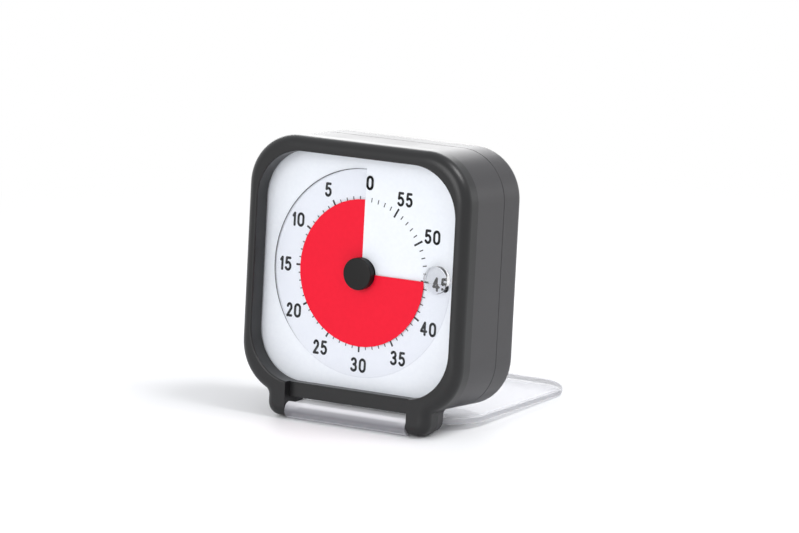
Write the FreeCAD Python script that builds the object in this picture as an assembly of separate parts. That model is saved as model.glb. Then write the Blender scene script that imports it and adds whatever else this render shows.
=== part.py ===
import FreeCAD, Part
import math
import os

from FreeCAD import Placement, Rotation, Vector

os.makedirs("parts", exist_ok=True)

# A three inch visual countdown timer that leans on its own folded lid.
# Everything is built upright: X across, Y back from the front face, Z up from the dial centre.
# The last step leans it back and stands it on the floor.

# Body
BODY_WIDTH = 76.2
BODY_HEIGHT = 77.4
BODY_CORNER = 15.5
BODY_DEPTH = 32.2
FRAME_DEPTH = 6.65
CASE_DEPTH = 21.8
CASE_INSET = 0.5
CASE_WALL = 2.0
REAR_WALL = 2.2
REAR_ROUND = 2.6
SEAM = 0.2
LIP_ROUND = 3.2
LIP_INNER_ROUND = 0.5
LEAN = 5.4

# Dial opening
BEZEL_SIDE = 3.8
BEZEL_TOP = 4.4
OPENING_CORNER = 15.0
DIAL_DEPTH = 6.2
DIAL_MARGIN = 0.9
POCKET_CLEARANCE = 0.25

# Lugs that carry the lid
LUG_INNER = 21.2
LUG_OUTER = 28.1
LUG_DROP = 6.1
LUG_ROUND = 4.0
LUG_BLEND = 2.0
LUG_EDGE = 0.8
LUG_TAIL = 10.3
BAR_RECESS = 2.4

# Dial and film: both are one turn of a helicoid, threaded through each other
PITCH = 1.0
DIAL_THICK = 0.3
DIAL_BORE = 4.7
FILM_THICK = 0.2
FILM_EDGE = 3.5
FILM_FIT = 0.05
RED_THICK = 0.1
RED_RADIUS = 21.7
RED_BORE = 4.7
SLIT_MARGIN = 0.9
RISER_THICK = 0.8
PARK_DEPTH = 0.12
PARK_MARGIN = 0.6
TAB_INSET = 4.5
TAB_RADIUS = 4.1
TAB_THICK = 0.9
TAB_LEAD = 1.1
TAB_ROUND = 0.35
TAB_CLEARANCE = 0.12
SET_ANGLE = 270.0
SECTORS = 48

# Knob and spindle
KNOB_RADIUS = 4.75
KNOB_TOP = 2.85
KNOB_THICK = 2.0
KNOB_CHAMFER = 0.6
KNOB_FACE = 0.7
HUB_RADIUS = 4.2
HUB_RUN = 0.25
SHAFT_RADIUS = 1.5
SHAFT_RUN = 0.05

# Lid and its hinge
HINGE_DEPTH = 2.3
HINGE_BELOW = 3.9
BARREL_RADIUS = 2.4
BARREL_GAP = 0.25
PIN_RADIUS = 0.9
PIN_RUN = 0.05
PIN_REACH = 3.5
LID_SIDE = 1.1
LID_GAP = 0.6
LID_CORNER = 13.5
LID_THICK = 2.0
LID_OFFSET = 0.6
TONGUE_THICK = 1.3
LID_EDGE = 0.4

# Deck inside the mid case, behind the dial
DECK_FRONT = 7.6
DECK_BACK = 8.9
RIM_CLEARANCE = 0.05

# Movement housing
MOVEMENT_HALF_W = 22.0
MOVEMENT_TOP = 25.0
MOVEMENT_BOTTOM = 12.2
MOVEMENT_SPLIT = 14.8
MOVEMENT_BACK = 18.6
MOVEMENT_WALL = 1.2
MOVEMENT_CORNER = 4.0

# Wheel train, from the output wheel down to the rotor's pinion
MODULE = 0.3
OUTPUT_TEETH = 64
WHEEL_TEETH = 60
PINION_TEETH = 8
TRAIN_FRONT = 10.6
WHEEL_THICK = 0.7
LEVEL_STEP = 1.15
ARBOR_RADIUS = 0.5
ARBOR_RUN = 0.03
TOOTH_PLAY = 0.1
COLLET_RADIUS = 2.7
COLLET_LENGTH = 0.4
TRAIN_TURNS = (135.0, 35.0, -20.0)

# Stepping motor
ROTOR_RADIUS = 1.7
ROTOR_LENGTH = 1.6
ROTOR_AIR = 0.35
STATOR_THICK = 0.8
STATOR_WIDTH = 9.0
STATOR_HALF = 7.8
STATOR_LEG = 3.0
COIL_RADIUS = 1.6
COIL_LENGTH = 8.0
COIL_DROP = 10.0
CORE_HALF = 1.0
WINDING_INSET = 0.15
BOBBIN_FLANGE = 0.6

# Circuit board
BOARD_THICK = 1.0
BOARD_HALF_W = 20.0
BOARD_TOP = 23.0
BOARD_BOTTOM = 9.0
BOARD_POST = 1.0
BOARD_POST_RADIUS = 1.4
CRYSTAL_RADIUS = 1.0
CRYSTAL_LENGTH = 6.0
CHIP_RADIUS = 3.2
CHIP_HEIGHT = 1.1

# Battery, its bay and its door
CELL_RADIUS = 7.1
CELL_LENGTH = 49.2
NUB_RADIUS = 2.6
NUB_LENGTH = 1.2
CELL_DROP = 21.2
CELL_BACK_GAP = 0.6
CELL_RUN = 0.4
CONTACT_THICK = 0.4
CONTACT_HALF = 5.0
SPRING_LENGTH = 3.2
SPRING_WIRE = 0.35
SPRING_RADIUS = 3.0
SPRING_TURNS = 3
SPRING_STEPS = 12
SPRING_SIDES = 6
BAY_WALL = 1.2
BAY_REACH = 0.3
CELL_CHAMFER = 0.4
CONTACT_TAB = 1.5
DOOR_RIGHT = 29.0
DOOR_HALF_H = 8.5
DOOR_THICK = 1.2
DOOR_GAP = 0.2
DOOR_LIP = 1.2
DOOR_LIP_THICK = 0.5
DOOR_SHELF = 1.0
DOOR_TRAVEL = 8.0
GRIP_RIBS = 4
GRIP_PITCH = 1.6
GRIP_DEPTH = 0.3

# Alarm switch and sounder
SWITCH_X = -14.0
SWITCH_Z = 19.0
SWITCH_HALF_W = 1.6
SWITCH_HALF_H = 2.2
SWITCH_TRAVEL = 3.0
SWITCH_RUN = 0.2
SWITCH_PROUD = 0.7
SWITCH_FLANGE = 1.0
SWITCH_CAN_HALF_W = 3.2
SWITCH_CAN_HALF_H = 5.6
SWITCH_CAN_SHARE = 0.45
SOUNDER_X = 17.0
SOUNDER_Z = 19.0
SOUNDER_RADIUS = 8.0
SOUNDER_THICK = 0.3
CERAMIC_RADIUS = 5.6
SOUND_CAVITY = 1.2
SOUND_HOLE = 0.75
SOUND_RING = 3.6
SOUND_HOLES = 6

# Screws
SCREW_TOP_INSET = 8.6
SCREW_LOW_SIDE = 17.6
SCREW_LOW_INSET = 4.6
SCREW_RADIUS = 1.25
SCREW_HEAD = 2.3
SCREW_HEAD_DEPTH = 1.6
SCREW_SINK = 2.4
SCREW_BITE = 6.0
BOSS_RADIUS = 3.1
HOLE_RUN = 0.15
DRIVE_HALF = 0.4

FRONT = Rotation(Vector(1, 0, 0), 90)
TOL = 1e-6


def box(x0, x1, y0, y1, z0, z1):
    return Part.makeBox(x1 - x0, y1 - y0, z1 - z0, Vector(x0, y0, z0))


def rod(radius, x, z, y0, y1):
    """A cylinder that runs from front to back."""
    return Part.makeCylinder(radius, y1 - y0, Vector(x, y0, z), Vector(0, 1, 0))


def tube(outer, inner, x, z, y0, y1):
    return rod(outer, x, z, y0, y1).cut(rod(inner, x, z, y0 - 1, y1 + 1))


def bar(radius, x0, x1, y, z):
    """A cylinder that runs from left to right."""
    return Part.makeCylinder(radius, x1 - x0, Vector(x0, y, z), Vector(1, 0, 0))


def rounded(shape, radius, keep):
    """Round the edges whose two end points satisfy keep."""
    edges = [e for e in shape.Edges if keep([v.Point for v in e.Vertexes])]
    return shape.makeFillet(radius, edges)


def along_depth(points):
    return len(points) == 2 and abs(points[0].x - points[1].x) < TOL and abs(points[0].z - points[1].z) < TOL


def prism(half_width, half_height, corner, y0, y1):
    """A rounded rectangle that runs from front to back."""
    block = box(-half_width, half_width, y0, y1, -half_height, half_height)
    return rounded(block, corner, along_depth)


HALF_W = BODY_WIDTH / 2
HALF_H = BODY_HEIGHT / 2
CASE_HALF_W = HALF_W - CASE_INSET
CASE_HALF_H = HALF_H - CASE_INSET
CASE_CORNER = BODY_CORNER - CASE_INSET
FOOT_Z = -HALF_H - LUG_DROP
HINGE_Z = -HALF_H - HINGE_BELOW
OPEN_HALF_W = HALF_W - BEZEL_SIDE
OPEN_HALF_H = HALF_H - BEZEL_TOP
FILM_RADIUS = min(OPEN_HALF_W, OPEN_HALF_H) - FILM_EDGE
TAB_REACH = FILM_RADIUS - TAB_INSET
LID_HALF_W = OPEN_HALF_W - LID_SIDE
LID_NEAR = LID_GAP - OPEN_HALF_H - HINGE_Z
LID_FAR = OPEN_HALF_H - LID_GAP - HINGE_Z


def outline(inset, y0, y1, foot):
    """Outer block of a case piece: the rounded square with the two lugs below it."""
    half_w = HALF_W - inset
    half_h = HALF_H - inset
    block = prism(half_w, half_h, BODY_CORNER - inset, y0, y1)
    for side in (-1, 1):
        outer = side * (LUG_OUTER - inset)
        inner = side * (LUG_INNER + inset * 0.4)
        lug = box(min(inner, outer), max(inner, outer), y0, y1, foot, -half_h + BODY_CORNER / 2)
        block = block.fuse(lug)
    block = block.removeSplitter()

    def blend(points):
        at_blend = along_depth(points) and abs(abs(points[0].x) - (LUG_OUTER - inset)) < 0.01
        return at_blend and foot + 1 < points[0].z < -half_h + BODY_CORNER / 2 + TOL

    def toe(points):
        at_toe = along_depth(points) and abs(abs(points[0].x) - (LUG_OUTER - inset)) < 0.01
        return at_toe and points[0].z < foot + 0.5

    block = rounded(block, LUG_ROUND, toe)
    return rounded(block, LUG_BLEND, blend)


def front_rim(points, y):
    return all(abs(p.y - y) < TOL for p in points)


def edge_middle(edge):
    return edge.valueAt((edge.FirstParameter + edge.LastParameter) / 2)


def front_edges(shape):
    return [e for e in shape.Edges if front_rim([v.Point for v in e.Vertexes], 0.0)]


def pocket_front():
    return DIAL_DEPTH - PITCH / 2 - DIAL_THICK / 2


# Front frame
def front_frame():
    block = outline(0.0, 0.0, FRAME_DEPTH, FOOT_Z)
    outer = []
    for edge in front_edges(block):
        middle = edge_middle(edge)
        between_lugs = abs(middle.x) < LUG_INNER + LUG_EDGE and middle.z < 0
        at_foot = middle.z < FOOT_Z + 0.1
        if not between_lugs and not at_foot:
            outer.append(edge)
    block = block.makeFillet(LIP_ROUND, outer)
    block = block.cut(prism(OPEN_HALF_W, OPEN_HALF_H, OPENING_CORNER, -1, pocket_front()))
    wider = DIAL_MARGIN + POCKET_CLEARANCE
    pocket = prism(OPEN_HALF_W + wider, OPEN_HALF_H + wider, OPENING_CORNER + wider, pocket_front(), FRAME_DEPTH + 1)
    block = block.cut(pocket)
    rim = []
    for edge in front_edges(block):
        middle = edge_middle(edge)
        if abs(middle.x) < OPEN_HALF_W + 0.1 and abs(middle.z) < OPEN_HALF_H + 0.1:
            rim.append(edge)
    block = block.makeFillet(LIP_INNER_ROUND, rim)
    way = box(-LUG_INNER, LUG_INNER, -1, BAR_RECESS, FOOT_Z - 1, -OPEN_HALF_H + OPENING_CORNER / 2)
    block = block.cut(way)
    swing = bar(BARREL_RADIUS + BARREL_GAP, -LUG_INNER, LUG_INNER, HINGE_DEPTH, HINGE_Z)
    block = block.cut(swing)
    for side in (-1, 1):
        start = LUG_INNER if side > 0 else -LUG_INNER - PIN_REACH
        block = block.cut(bar(PIN_RADIUS, start, start + PIN_REACH, HINGE_DEPTH, HINGE_Z))
    return block.removeSplitter()


def eased(block, y):
    """Take the sharp corner off one end of a block, which leaves the groove seen between the halves."""
    edges = [e for e in block.Edges if front_rim([v.Point for v in e.Vertexes], y)]
    return block.makeChamfer(SEAM, edges)


# Mid case: the tube behind the frame, with the deck that the dial and the movement seat on
def screw_places():
    top = [(side * (CASE_HALF_W - SCREW_TOP_INSET), CASE_HALF_H - SCREW_TOP_INSET) for side in (-1, 1)]
    low = [(side * (CASE_HALF_W - SCREW_LOW_SIDE), SCREW_LOW_INSET - CASE_HALF_H) for side in (-1, 1)]
    return top + low


def mid_case():
    front = outline(CASE_INSET, FRAME_DEPTH, LUG_TAIL, FOOT_Z + CASE_INSET)
    body = eased(prism(CASE_HALF_W, CASE_HALF_H, CASE_CORNER, FRAME_DEPTH, CASE_DEPTH), CASE_DEPTH)
    shell = front.fuse(body).removeSplitter()
    inner_w = CASE_HALF_W - CASE_WALL
    inner_h = CASE_HALF_H - CASE_WALL
    shell = shell.cut(prism(inner_w, inner_h, CASE_CORNER - CASE_WALL, DECK_BACK, CASE_DEPTH + 1))
    rim_front = DIAL_DEPTH + PITCH / 2 + DIAL_THICK / 2 + RIM_CLEARANCE
    shell = shell.cut(prism(DIAL_HALF_W, DIAL_HALF_H, DIAL_CORNER, FRAME_DEPTH - 1, rim_front))
    shell = shell.cut(rod(FILM_RADIUS + SLIT_MARGIN, 0, 0, FRAME_DEPTH - 1, DECK_FRONT))
    shell = shell.cut(rod(HUB_RADIUS + HUB_RUN, 0, 0, FRAME_DEPTH, DECK_BACK + 1))
    room = prism(inner_w, inner_h, CASE_CORNER - CASE_WALL, DECK_BACK - 1, CASE_DEPTH)
    for x, z in screw_places():
        boss = rod(BOSS_RADIUS, x, z, DECK_BACK - 0.5, CASE_DEPTH)
        shell = shell.fuse(boss.common(room))
        shell = shell.cut(rod(SCREW_RADIUS, x, z, CASE_DEPTH - SCREW_BITE, CASE_DEPTH + 1))
    return shell.removeSplitter()


DIAL_HALF_W = OPEN_HALF_W + DIAL_MARGIN
DIAL_HALF_H = OPEN_HALF_H + DIAL_MARGIN
DIAL_CORNER = OPENING_CORNER + DIAL_MARGIN


# Rear cover
REAR_INNER = BODY_DEPTH - REAR_WALL
DOOR_FLOOR = BODY_DEPTH - DOOR_THICK
CELL_Z = -CELL_DROP
CELL_Y = REAR_INNER - CELL_BACK_GAP - CELL_RADIUS
CELL_HALF = (CELL_LENGTH + NUB_LENGTH) / 2
BAY_HALF = CELL_HALF + SPRING_LENGTH / 2 + CONTACT_THICK
BAY_FRONT = CELL_Y - CONTACT_HALF - BAY_REACH


def rear_block():
    block = prism(CASE_HALF_W, CASE_HALF_H, CASE_CORNER, CASE_DEPTH, BODY_DEPTH)
    edges = [e for e in block.Edges if front_rim([v.Point for v in e.Vertexes], BODY_DEPTH)]
    return eased(block.makeFillet(REAR_ROUND, edges), CASE_DEPTH)


def rear_cover():
    shell = rear_block()
    inner_w = CASE_HALF_W - CASE_WALL
    inner_h = CASE_HALF_H - CASE_WALL
    room = prism(inner_w, inner_h, CASE_CORNER - CASE_WALL, CASE_DEPTH - 1, REAR_INNER)
    shell = shell.cut(room)
    bay_half_h = CELL_RADIUS + CELL_RUN
    bay = box(-BAY_HALF - BAY_WALL, BAY_HALF + BAY_WALL, BAY_FRONT, REAR_INNER,
              CELL_Z - bay_half_h - BAY_WALL, CELL_Z + bay_half_h + BAY_WALL)
    hollow = box(-BAY_HALF, BAY_HALF, BAY_FRONT - 1, REAR_INNER, CELL_Z - bay_half_h, CELL_Z + bay_half_h)
    reach = prism(inner_w - RIM_CLEARANCE, inner_h - RIM_CLEARANCE, CASE_CORNER - CASE_WALL,
                  BAY_FRONT, REAR_INNER + 0.5)
    shell = shell.fuse(bay.cut(hollow).common(reach))
    for x, z in screw_places():
        boss = rod(BOSS_RADIUS, x, z, CASE_DEPTH, BODY_DEPTH - REAR_WALL / 2)
        keep = prism(CASE_HALF_W - 1, CASE_HALF_H - 1, CASE_CORNER - 1, CASE_DEPTH, BODY_DEPTH - 1)
        shell = shell.fuse(boss.common(keep))
    ring = tube(SOUNDER_RADIUS + 1.0, SOUNDER_RADIUS - 0.8, SOUNDER_X, SOUNDER_Z,
                REAR_INNER - SOUND_CAVITY - 2 * SOUNDER_THICK, REAR_INNER + 0.2)
    shell = shell.fuse(ring).removeSplitter()
    seat_back = REAR_INNER - SOUND_CAVITY
    shell = shell.cut(rod(SOUNDER_RADIUS + 0.05, SOUNDER_X, SOUNDER_Z, CASE_DEPTH, seat_back))
    holes = [(SOUNDER_X, SOUNDER_Z)]
    for i in range(SOUND_HOLES):
        turn = 2 * math.pi * i / SOUND_HOLES
        holes.append((SOUNDER_X + SOUND_RING * math.cos(turn), SOUNDER_Z + SOUND_RING * math.sin(turn)))
    for x, z in holes:
        shell = shell.cut(rod(SOUND_HOLE, x, z, seat_back, BODY_DEPTH + 1))
    for x, z in screw_places():
        shell = shell.cut(rod(SCREW_RADIUS + HOLE_RUN, x, z, CASE_DEPTH - 1, BODY_DEPTH + 1))
        shell = shell.cut(rod(SCREW_HEAD + HOLE_RUN, x, z, BODY_DEPTH - SCREW_SINK, BODY_DEPTH + 1))
    left = -HALF_W - 1
    bottom = CELL_Z - DOOR_HALF_H
    top = CELL_Z + DOOR_HALF_H
    shell = shell.cut(box(left, DOOR_RIGHT, DOOR_FLOOR, BODY_DEPTH + 1, bottom, top))
    groove_back = DOOR_FLOOR + DOOR_LIP_THICK + DOOR_GAP
    shell = shell.cut(box(left, DOOR_RIGHT - DOOR_SHELF, DOOR_FLOOR, groove_back, bottom - DOOR_LIP, top + DOOR_LIP))
    window = box(-BAY_HALF + DOOR_SHELF, DOOR_RIGHT - DOOR_SHELF, REAR_INNER - 1, BODY_DEPTH,
                 bottom + DOOR_SHELF, top - DOOR_SHELF)
    shell = shell.cut(window)
    slot = box(SWITCH_X - SWITCH_HALF_W - SWITCH_RUN, SWITCH_X + SWITCH_HALF_W + SWITCH_RUN,
               REAR_INNER - 1, BODY_DEPTH + 1,
               SWITCH_Z - SWITCH_HALF_H - SWITCH_RUN, SWITCH_Z + SWITCH_HALF_H + SWITCH_TRAVEL + SWITCH_RUN)
    return shell.cut(slot).removeSplitter()


def battery_door():
    left = -HALF_W - 1
    bottom = CELL_Z - DOOR_HALF_H + DOOR_GAP
    top = CELL_Z + DOOR_HALF_H - DOOR_GAP
    plate = box(left, DOOR_RIGHT - DOOR_GAP, DOOR_FLOOR, BODY_DEPTH, bottom, top)
    lips = box(left + DOOR_TRAVEL, DOOR_RIGHT - DOOR_SHELF - DOOR_GAP, DOOR_FLOOR, DOOR_FLOOR + DOOR_LIP_THICK,
               bottom - DOOR_LIP, top + DOOR_LIP)
    door = plate.fuse(lips).common(rear_block())
    for i in range(GRIP_RIBS):
        x = -GRIP_PITCH * (i + 8)
        door = door.cut(box(x, x + GRIP_PITCH / 2, BODY_DEPTH - GRIP_DEPTH, BODY_DEPTH + 1,
                            CELL_Z - DOOR_HALF_H / 2, CELL_Z + DOOR_HALF_H / 2))
    return door.removeSplitter()


# Dial and film
def closed(outlines):
    """A solid bounded by flat faces."""
    faces = [Part.Face(Part.makePolygon(corners + [corners[0]])) for corners in outlines]
    solid = Part.makeSolid(Part.makeShell(faces))
    if solid.Volume < 0:
        solid.reverse()
    return solid


def helicoid(inner, outer, start, thick, lift):
    """One turn that rises toward the viewer, counter-clockwise from an angle past twelve o'clock."""
    rungs = []
    for i in range(SECTORS + 1):
        past = start + 360.0 * i / SECTORS
        turn = math.radians(past + 90)
        middle = PITCH * past / 360 + lift
        rung = []
        for radius, z in ((inner, -thick), (outer, -thick), (outer, thick), (inner, thick)):
            rung.append(Vector(radius * math.cos(turn), radius * math.sin(turn), middle + z / 2))
        rungs.append(rung)
    outlines = [rungs[0], rungs[-1]]
    for here, there in zip(rungs, rungs[1:]):
        outlines.append([here[0], here[3], there[3], there[0]])
        outlines.append([here[1], here[2], there[2], there[1]])
        for near, far in ((0, 1), (3, 2)):
            outlines.append([here[near], here[far], there[far]])
            outlines.append([here[near], there[far], there[near]])
    return closed(outlines)


def to_dial(shape):
    """Turn a shape drawn in the dial's plane, Z toward the viewer, to its place in the body."""
    placed = shape.copy()
    placed.Placement = Placement(Vector(0, DIAL_DEPTH, 0), FRONT).multiply(placed.Placement)
    return placed


def dial_face():
    sheet = helicoid(DIAL_BORE, 2 * HALF_W, 0, DIAL_THICK, -PITCH / 2)
    card = Part.makeBox(2 * DIAL_HALF_W, 2 * DIAL_HALF_H, 2 * PITCH + 2, Vector(-DIAL_HALF_W, -DIAL_HALF_H, -PITCH - 1))
    card = rounded(card, DIAL_CORNER, lambda p: abs(p[0].x - p[1].x) < TOL and abs(p[0].y - p[1].y) < TOL)
    sheet = sheet.common(card)
    slit_end = FILM_RADIUS + SLIT_MARGIN
    riser = Part.makeBox(RISER_THICK, DIAL_HALF_H - slit_end, PITCH + DIAL_THICK,
                         Vector(-RISER_THICK / 2, slit_end, -PITCH / 2 - DIAL_THICK / 2))
    sheet = sheet.fuse(riser)
    park_floor = PITCH / 2 + DIAL_THICK / 2 - PARK_DEPTH
    park = Part.makeCylinder(TAB_RADIUS + PARK_MARGIN, PITCH, Vector(-TAB_LEAD, TAB_REACH, park_floor))
    side = Part.makeBox(2 * TAB_RADIUS, 2 * HALF_W, 2 * PITCH + 2, Vector(0, 0, -PITCH))
    return to_dial(sheet.cut(park.common(side)))


def clear_disc():
    lift = -RED_THICK / 2
    return to_dial(helicoid(HUB_RADIUS + FILM_FIT, FILM_RADIUS, SET_ANGLE - 360, FILM_THICK, lift))


def red_disc():
    lift = FILM_THICK / 2
    return to_dial(helicoid(RED_BORE, RED_RADIUS, SET_ANGLE - 360, RED_THICK, lift))


def finger_tab():
    film = (FILM_THICK + RED_THICK) / 2
    lead_height = PITCH * SET_ANGLE / 360
    base = lead_height + PITCH / 2 + DIAL_THICK / 2 + TAB_CLEARANCE
    disc = Part.makeCylinder(TAB_RADIUS, TAB_THICK, Vector(TAB_REACH, TAB_LEAD, base))
    rim = [e for e in disc.Edges if len(e.Vertexes) == 1 and abs(e.Vertexes[0].Z - base - TAB_THICK) < TOL]
    disc = disc.makeFillet(TAB_ROUND, rim)
    foot = Part.makeCylinder(TAB_RADIUS, base - lead_height + film, Vector(TAB_REACH, TAB_LEAD, lead_height - film))
    ahead = Part.makeBox(4 * TAB_RADIUS, 4 * TAB_RADIUS, 4 * PITCH,
                         Vector(TAB_REACH - 2 * TAB_RADIUS, 0, lead_height - 1))
    tab = disc.fuse(foot.common(ahead)).removeSplitter()
    tab.rotate(Vector(0, 0, 0), Vector(0, 0, 1), SET_ANGLE - 270)
    return to_dial(tab)


def set_knob():
    knob = rod(KNOB_RADIUS, 0, 0, KNOB_TOP, KNOB_TOP + KNOB_THICK)
    rim = [e for e in knob.Edges if len(e.Vertexes) == 1 and abs(e.Vertexes[0].Y - KNOB_TOP) < TOL]
    knob = knob.makeChamfer(KNOB_CHAMFER, rim)
    return knob.cut(rod(SHAFT_RADIUS, 0, 0, KNOB_TOP + KNOB_FACE, KNOB_TOP + KNOB_THICK + 1))


def disc_hub():
    return tube(HUB_RADIUS, SHAFT_RADIUS, 0, 0, KNOB_TOP + KNOB_THICK, DECK_BACK)


def spindle():
    return rod(SHAFT_RADIUS, 0, 0, KNOB_TOP + KNOB_FACE, MOVEMENT_BACK - MOVEMENT_WALL / 2)


# Lid: drawn closed, then turned to where it stands
def lid_stand():
    plate_y0 = HINGE_DEPTH - LID_OFFSET - LID_THICK / 2
    half_h = (LID_FAR - LID_NEAR) / 2
    plate = prism(LID_HALF_W, half_h, LID_CORNER, plate_y0, plate_y0 + LID_THICK)
    plate.translate(Vector(0, 0, HINGE_Z + (LID_FAR + LID_NEAR) / 2))
    edges = [e for e in plate.Edges if not along_depth([v.Point for v in e.Vertexes])]
    plate = plate.makeChamfer(LID_EDGE, edges)
    half_tongue = LUG_INNER - BARREL_GAP
    tongue_top = HINGE_Z + LID_NEAR + LID_EDGE + 1
    tongue = box(-half_tongue, half_tongue, plate_y0, plate_y0 + TONGUE_THICK, HINGE_Z, tongue_top)
    barrel = bar(BARREL_RADIUS, -half_tongue, half_tongue, HINGE_DEPTH, HINGE_Z)
    lid = plate.fuse([tongue, barrel]).removeSplitter()
    for side in (-1, 1):
        start = half_tongue - PIN_REACH if side > 0 else -half_tongue
        lid = lid.cut(bar(PIN_RADIUS + PIN_RUN, start, start + PIN_REACH, HINGE_DEPTH, HINGE_Z))
    lid.rotate(Vector(0, HINGE_DEPTH, HINGE_Z), Vector(1, 0, 0), lid_sweep())
    return lid


def lid_rest_drop():
    """Angle below level at which the lid's far lower edge meets the floor."""
    axis_height = floor_height(HINGE_DEPTH, HINGE_Z)
    low = LID_THICK / 2 - LID_OFFSET
    reach = math.hypot(LID_FAR, low)
    return math.degrees(math.asin(axis_height / reach) - math.atan2(low, LID_FAR))


def lid_sweep():
    """Turn from closed, forward and under, to where the lid stands."""
    return 270 + LEAN - lid_rest_drop()


def floor_height(y, z):
    """Height above the floor of a point of the body once it leans."""
    lean = math.radians(LEAN)
    foot = FOOT_Z * math.cos(lean) - FRAME_DEPTH * math.sin(lean)
    return z * math.cos(lean) - y * math.sin(lean) - foot


def hinge_pins():
    pins = []
    for side in (-1, 1):
        ends = sorted((side * (LUG_INNER - BARREL_GAP - PIN_REACH + 0.3), side * (LUG_INNER + PIN_REACH)))
        pins.append(bar(PIN_RADIUS, ends[0], ends[1], HINGE_DEPTH, HINGE_Z))
    return Part.makeCompound(pins)


# Movement
def housing(y0, y1):
    height = MOVEMENT_TOP + MOVEMENT_BOTTOM
    block = prism(MOVEMENT_HALF_W, height / 2, MOVEMENT_CORNER, y0, y1)
    block.translate(Vector(0, 0, (MOVEMENT_TOP - MOVEMENT_BOTTOM) / 2))
    return block


def hollow(y0, y1):
    height = MOVEMENT_TOP + MOVEMENT_BOTTOM
    block = prism(MOVEMENT_HALF_W - MOVEMENT_WALL, height / 2 - MOVEMENT_WALL, MOVEMENT_CORNER - MOVEMENT_WALL, y0, y1)
    block.translate(Vector(0, 0, (MOVEMENT_TOP - MOVEMENT_BOTTOM) / 2))
    return block


def arbor_places():
    """Centres of the three arbors behind the output wheel, each a wheel and a pinion apart."""
    places = []
    x = 0.0
    z = 0.0
    for i, turn in enumerate(TRAIN_TURNS):
        wheel = OUTPUT_TEETH if i == 0 else WHEEL_TEETH
        reach = MODULE * (wheel + PINION_TEETH) / 2
        x += reach * math.cos(math.radians(turn))
        z += reach * math.sin(math.radians(turn))
        places.append((x, z))
    return places


ARBOR_FRONT = DECK_BACK + MOVEMENT_WALL / 2
ARBOR_BACK = MOVEMENT_BACK - MOVEMENT_WALL / 2


def movement_front():
    shell = housing(DECK_BACK, MOVEMENT_SPLIT).cut(hollow(DECK_BACK + MOVEMENT_WALL, MOVEMENT_SPLIT + 1))
    shell = shell.cut(rod(SHAFT_RADIUS + SHAFT_RUN, 0, 0, DECK_BACK - 1, MOVEMENT_SPLIT))
    for x, z in arbor_places():
        shell = shell.cut(rod(ARBOR_RADIUS + ARBOR_RUN, x, z, ARBOR_FRONT, MOVEMENT_SPLIT))
    return shell


def movement_back():
    shell = housing(MOVEMENT_SPLIT, MOVEMENT_BACK).cut(hollow(MOVEMENT_SPLIT - 1, MOVEMENT_BACK - MOVEMENT_WALL))
    shell = shell.cut(rod(SHAFT_RADIUS + SHAFT_RUN, 0, 0, MOVEMENT_SPLIT, ARBOR_BACK))
    for x, z in arbor_places():
        shell = shell.cut(rod(ARBOR_RADIUS + ARBOR_RUN, x, z, MOVEMENT_SPLIT, ARBOR_BACK))
    for x, z in board_posts():
        shell = shell.fuse(rod(BOARD_POST_RADIUS, x, z, MOVEMENT_BACK, MOVEMENT_BACK + BOARD_POST))
    return shell.removeSplitter()


def gear(teeth, x, z, y0, thick, phase):
    """A spur gear; phase turns the first tooth's middle from the X axis."""
    pitch_radius = MODULE * teeth / 2
    tip = pitch_radius + MODULE * 0.85
    root = pitch_radius - MODULE * 1.15
    step = 2 * math.pi / teeth
    slack = TOOTH_PLAY / 2 / pitch_radius
    half_root = step * 0.33 - slack
    half_tip = step * 0.13 - slack / 2
    points = []
    for i in range(teeth):
        middle = math.radians(phase) + i * step
        for radius, turn in ((root, -half_root), (tip, -half_tip), (tip, half_tip), (root, half_root)):
            points.append(Vector(x + radius * math.cos(middle + turn), y0, z + radius * math.sin(middle + turn)))
    points.append(points[0])
    return Part.Face(Part.makePolygon(points)).extrude(Vector(0, thick, 0))


def level(i):
    return TRAIN_FRONT + i * LEVEL_STEP


def train_phases():
    """Tooth phases that put every pair in mesh: a gap of the driver faces a tooth of the pinion."""
    phases = []
    wheel_phase = 0.0
    for i, turn in enumerate(TRAIN_TURNS):
        wheel = OUTPUT_TEETH if i == 0 else WHEEL_TEETH
        wheel_step = 360.0 / wheel
        offset = (turn - wheel_phase) / wheel_step - 0.5
        pinion_step = 360.0 / PINION_TEETH
        pinion_phase = turn + 180 + (offset - round(offset)) * pinion_step
        phases.append(pinion_phase)
        wheel_phase = pinion_phase
    return phases


def output_wheel():
    y0 = level(0)
    wheel = gear(OUTPUT_TEETH, 0, 0, y0, WHEEL_THICK, 0.0)
    wheel = wheel.fuse(rod(COLLET_RADIUS, 0, 0, y0 - COLLET_LENGTH, y0))
    return wheel.cut(rod(SHAFT_RADIUS + SHAFT_RUN, 0, 0, DECK_BACK, y0 + WHEEL_THICK + 1)).removeSplitter()


def train_wheel(i):
    """A pinion at one level and a wheel at the next, on one arbor."""
    x, z = arbor_places()[i]
    phase = train_phases()[i]
    pinion = gear(PINION_TEETH, x, z, level(i), LEVEL_STEP, phase)
    wheel = gear(WHEEL_TEETH, x, z, level(i + 1), WHEEL_THICK, phase)
    arbor = rod(ARBOR_RADIUS, x, z, ARBOR_FRONT + 0.1, ARBOR_BACK - 0.1)
    return pinion.fuse([wheel, arbor]).removeSplitter()


def rotor():
    x, z = arbor_places()[2]
    pinion = gear(PINION_TEETH, x, z, level(2), LEVEL_STEP, train_phases()[2])
    magnet = rod(ROTOR_RADIUS, x, z, stator_front(), stator_front() + ROTOR_LENGTH)
    arbor = rod(ARBOR_RADIUS, x, z, ARBOR_FRONT + 0.1, ARBOR_BACK - 0.1)
    return pinion.fuse([magnet, arbor]).removeSplitter()


def stator_front():
    return level(3) + 0.2


def coil_centre():
    x, z = arbor_places()[2]
    return x, z - COIL_DROP


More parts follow.
